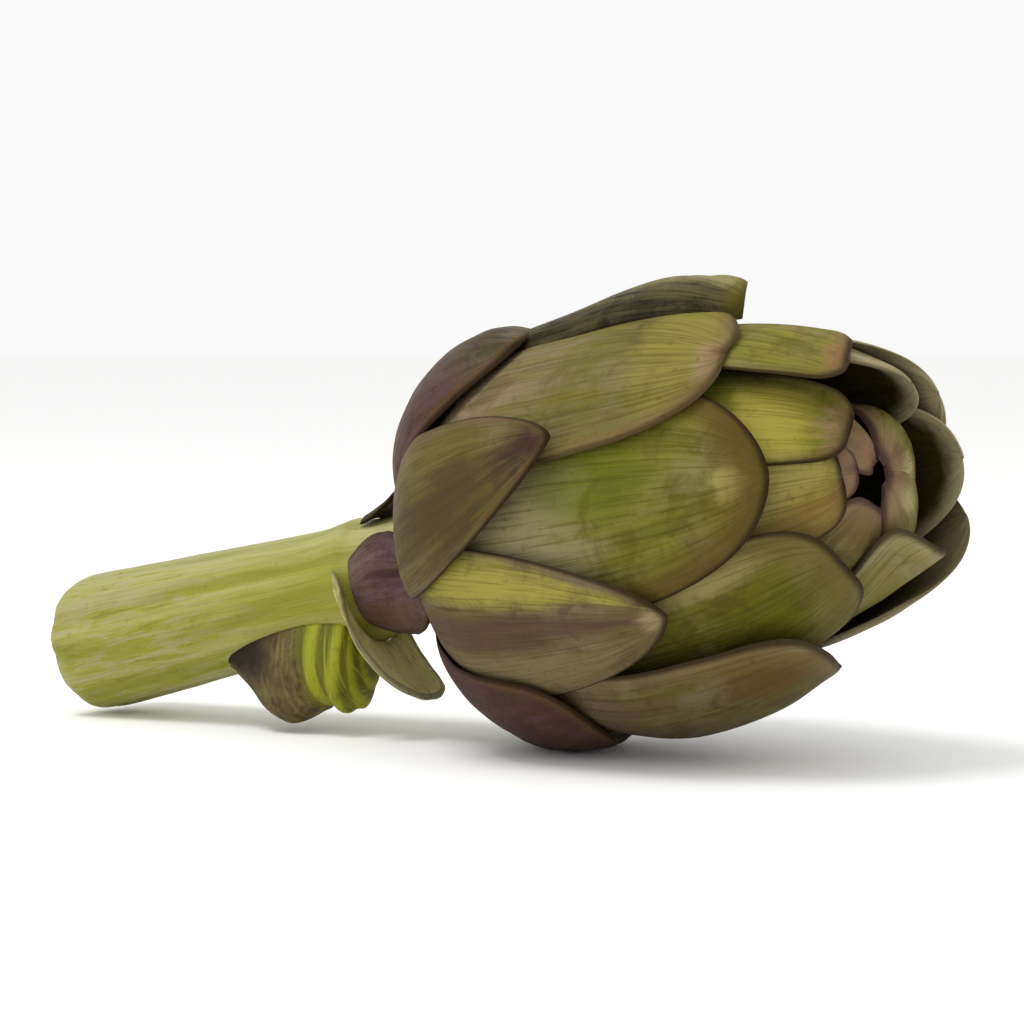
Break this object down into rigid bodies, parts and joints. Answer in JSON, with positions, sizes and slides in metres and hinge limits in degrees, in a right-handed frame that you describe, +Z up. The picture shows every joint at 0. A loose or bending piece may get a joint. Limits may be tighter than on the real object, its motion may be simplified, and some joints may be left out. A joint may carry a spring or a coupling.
{
  "type": "artichoke",
  "caption": "Globe artichoke with a cut stem, lying on its side, overlapping bracts closed to a bud and opened a little on one side.",
  "frame": {"origin": "centre of the object's footprint box, on the surface it lies on", "axes": "+Z up; +X runs from the cut end of the stem towards the crown; the side with the torn leaf and the closed bracts faces -Y"},
  "size_m": [0.2112, 0.0916, 0.102],
  "materials": {
    "stem_skin": "matt plant skin, yellow-green",
    "torn_leaf_skin": "matt plant skin, browned where torn",
    "neck_bract_skin": "matt plant skin, purple to pale green",
    "outer_bract_skin": "matt plant skin, green-brown with purple base",
    "middle_bract_skin": "matt plant skin, green with brown rim",
    "bud_bract_skin": "matt plant skin, bright green"
  },
  "bodies": {
    "root": {"stem": "stem_skin", "torn_leaf": "torn_leaf_skin", "neck_bract_1": "neck_bract_skin", "neck_bract_2": "neck_bract_skin", "neck_bract_3": "neck_bract_skin", "bract_01": "outer_bract_skin", "bract_02": "outer_bract_skin", "bract_03": "outer_bract_skin", "bract_04": "outer_bract_skin", "bract_05": "outer_bract_skin", "bract_06": "outer_bract_skin", "bract_07": "outer_bract_skin", "bract_08": "outer_bract_skin", "bract_09": "middle_bract_skin", "bract_10": "middle_bract_skin", "bract_11": "middle_bract_skin", "bract_12": "middle_bract_skin", "bract_13": "middle_bract_skin", "bract_14": "middle_bract_skin", "bract_15": "middle_bract_skin", "bract_16": "middle_bract_skin", "bract_17": "middle_bract_skin", "bract_18": "middle_bract_skin", "bract_19": "middle_bract_skin", "bract_20": "bud_bract_skin", "bract_21": "bud_bract_skin", "bract_22": "bud_bract_skin", "bract_23": "bud_bract_skin", "bract_24": "bud_bract_skin", "bract_25": "bud_bract_skin"}
  },
  "joints": []
}
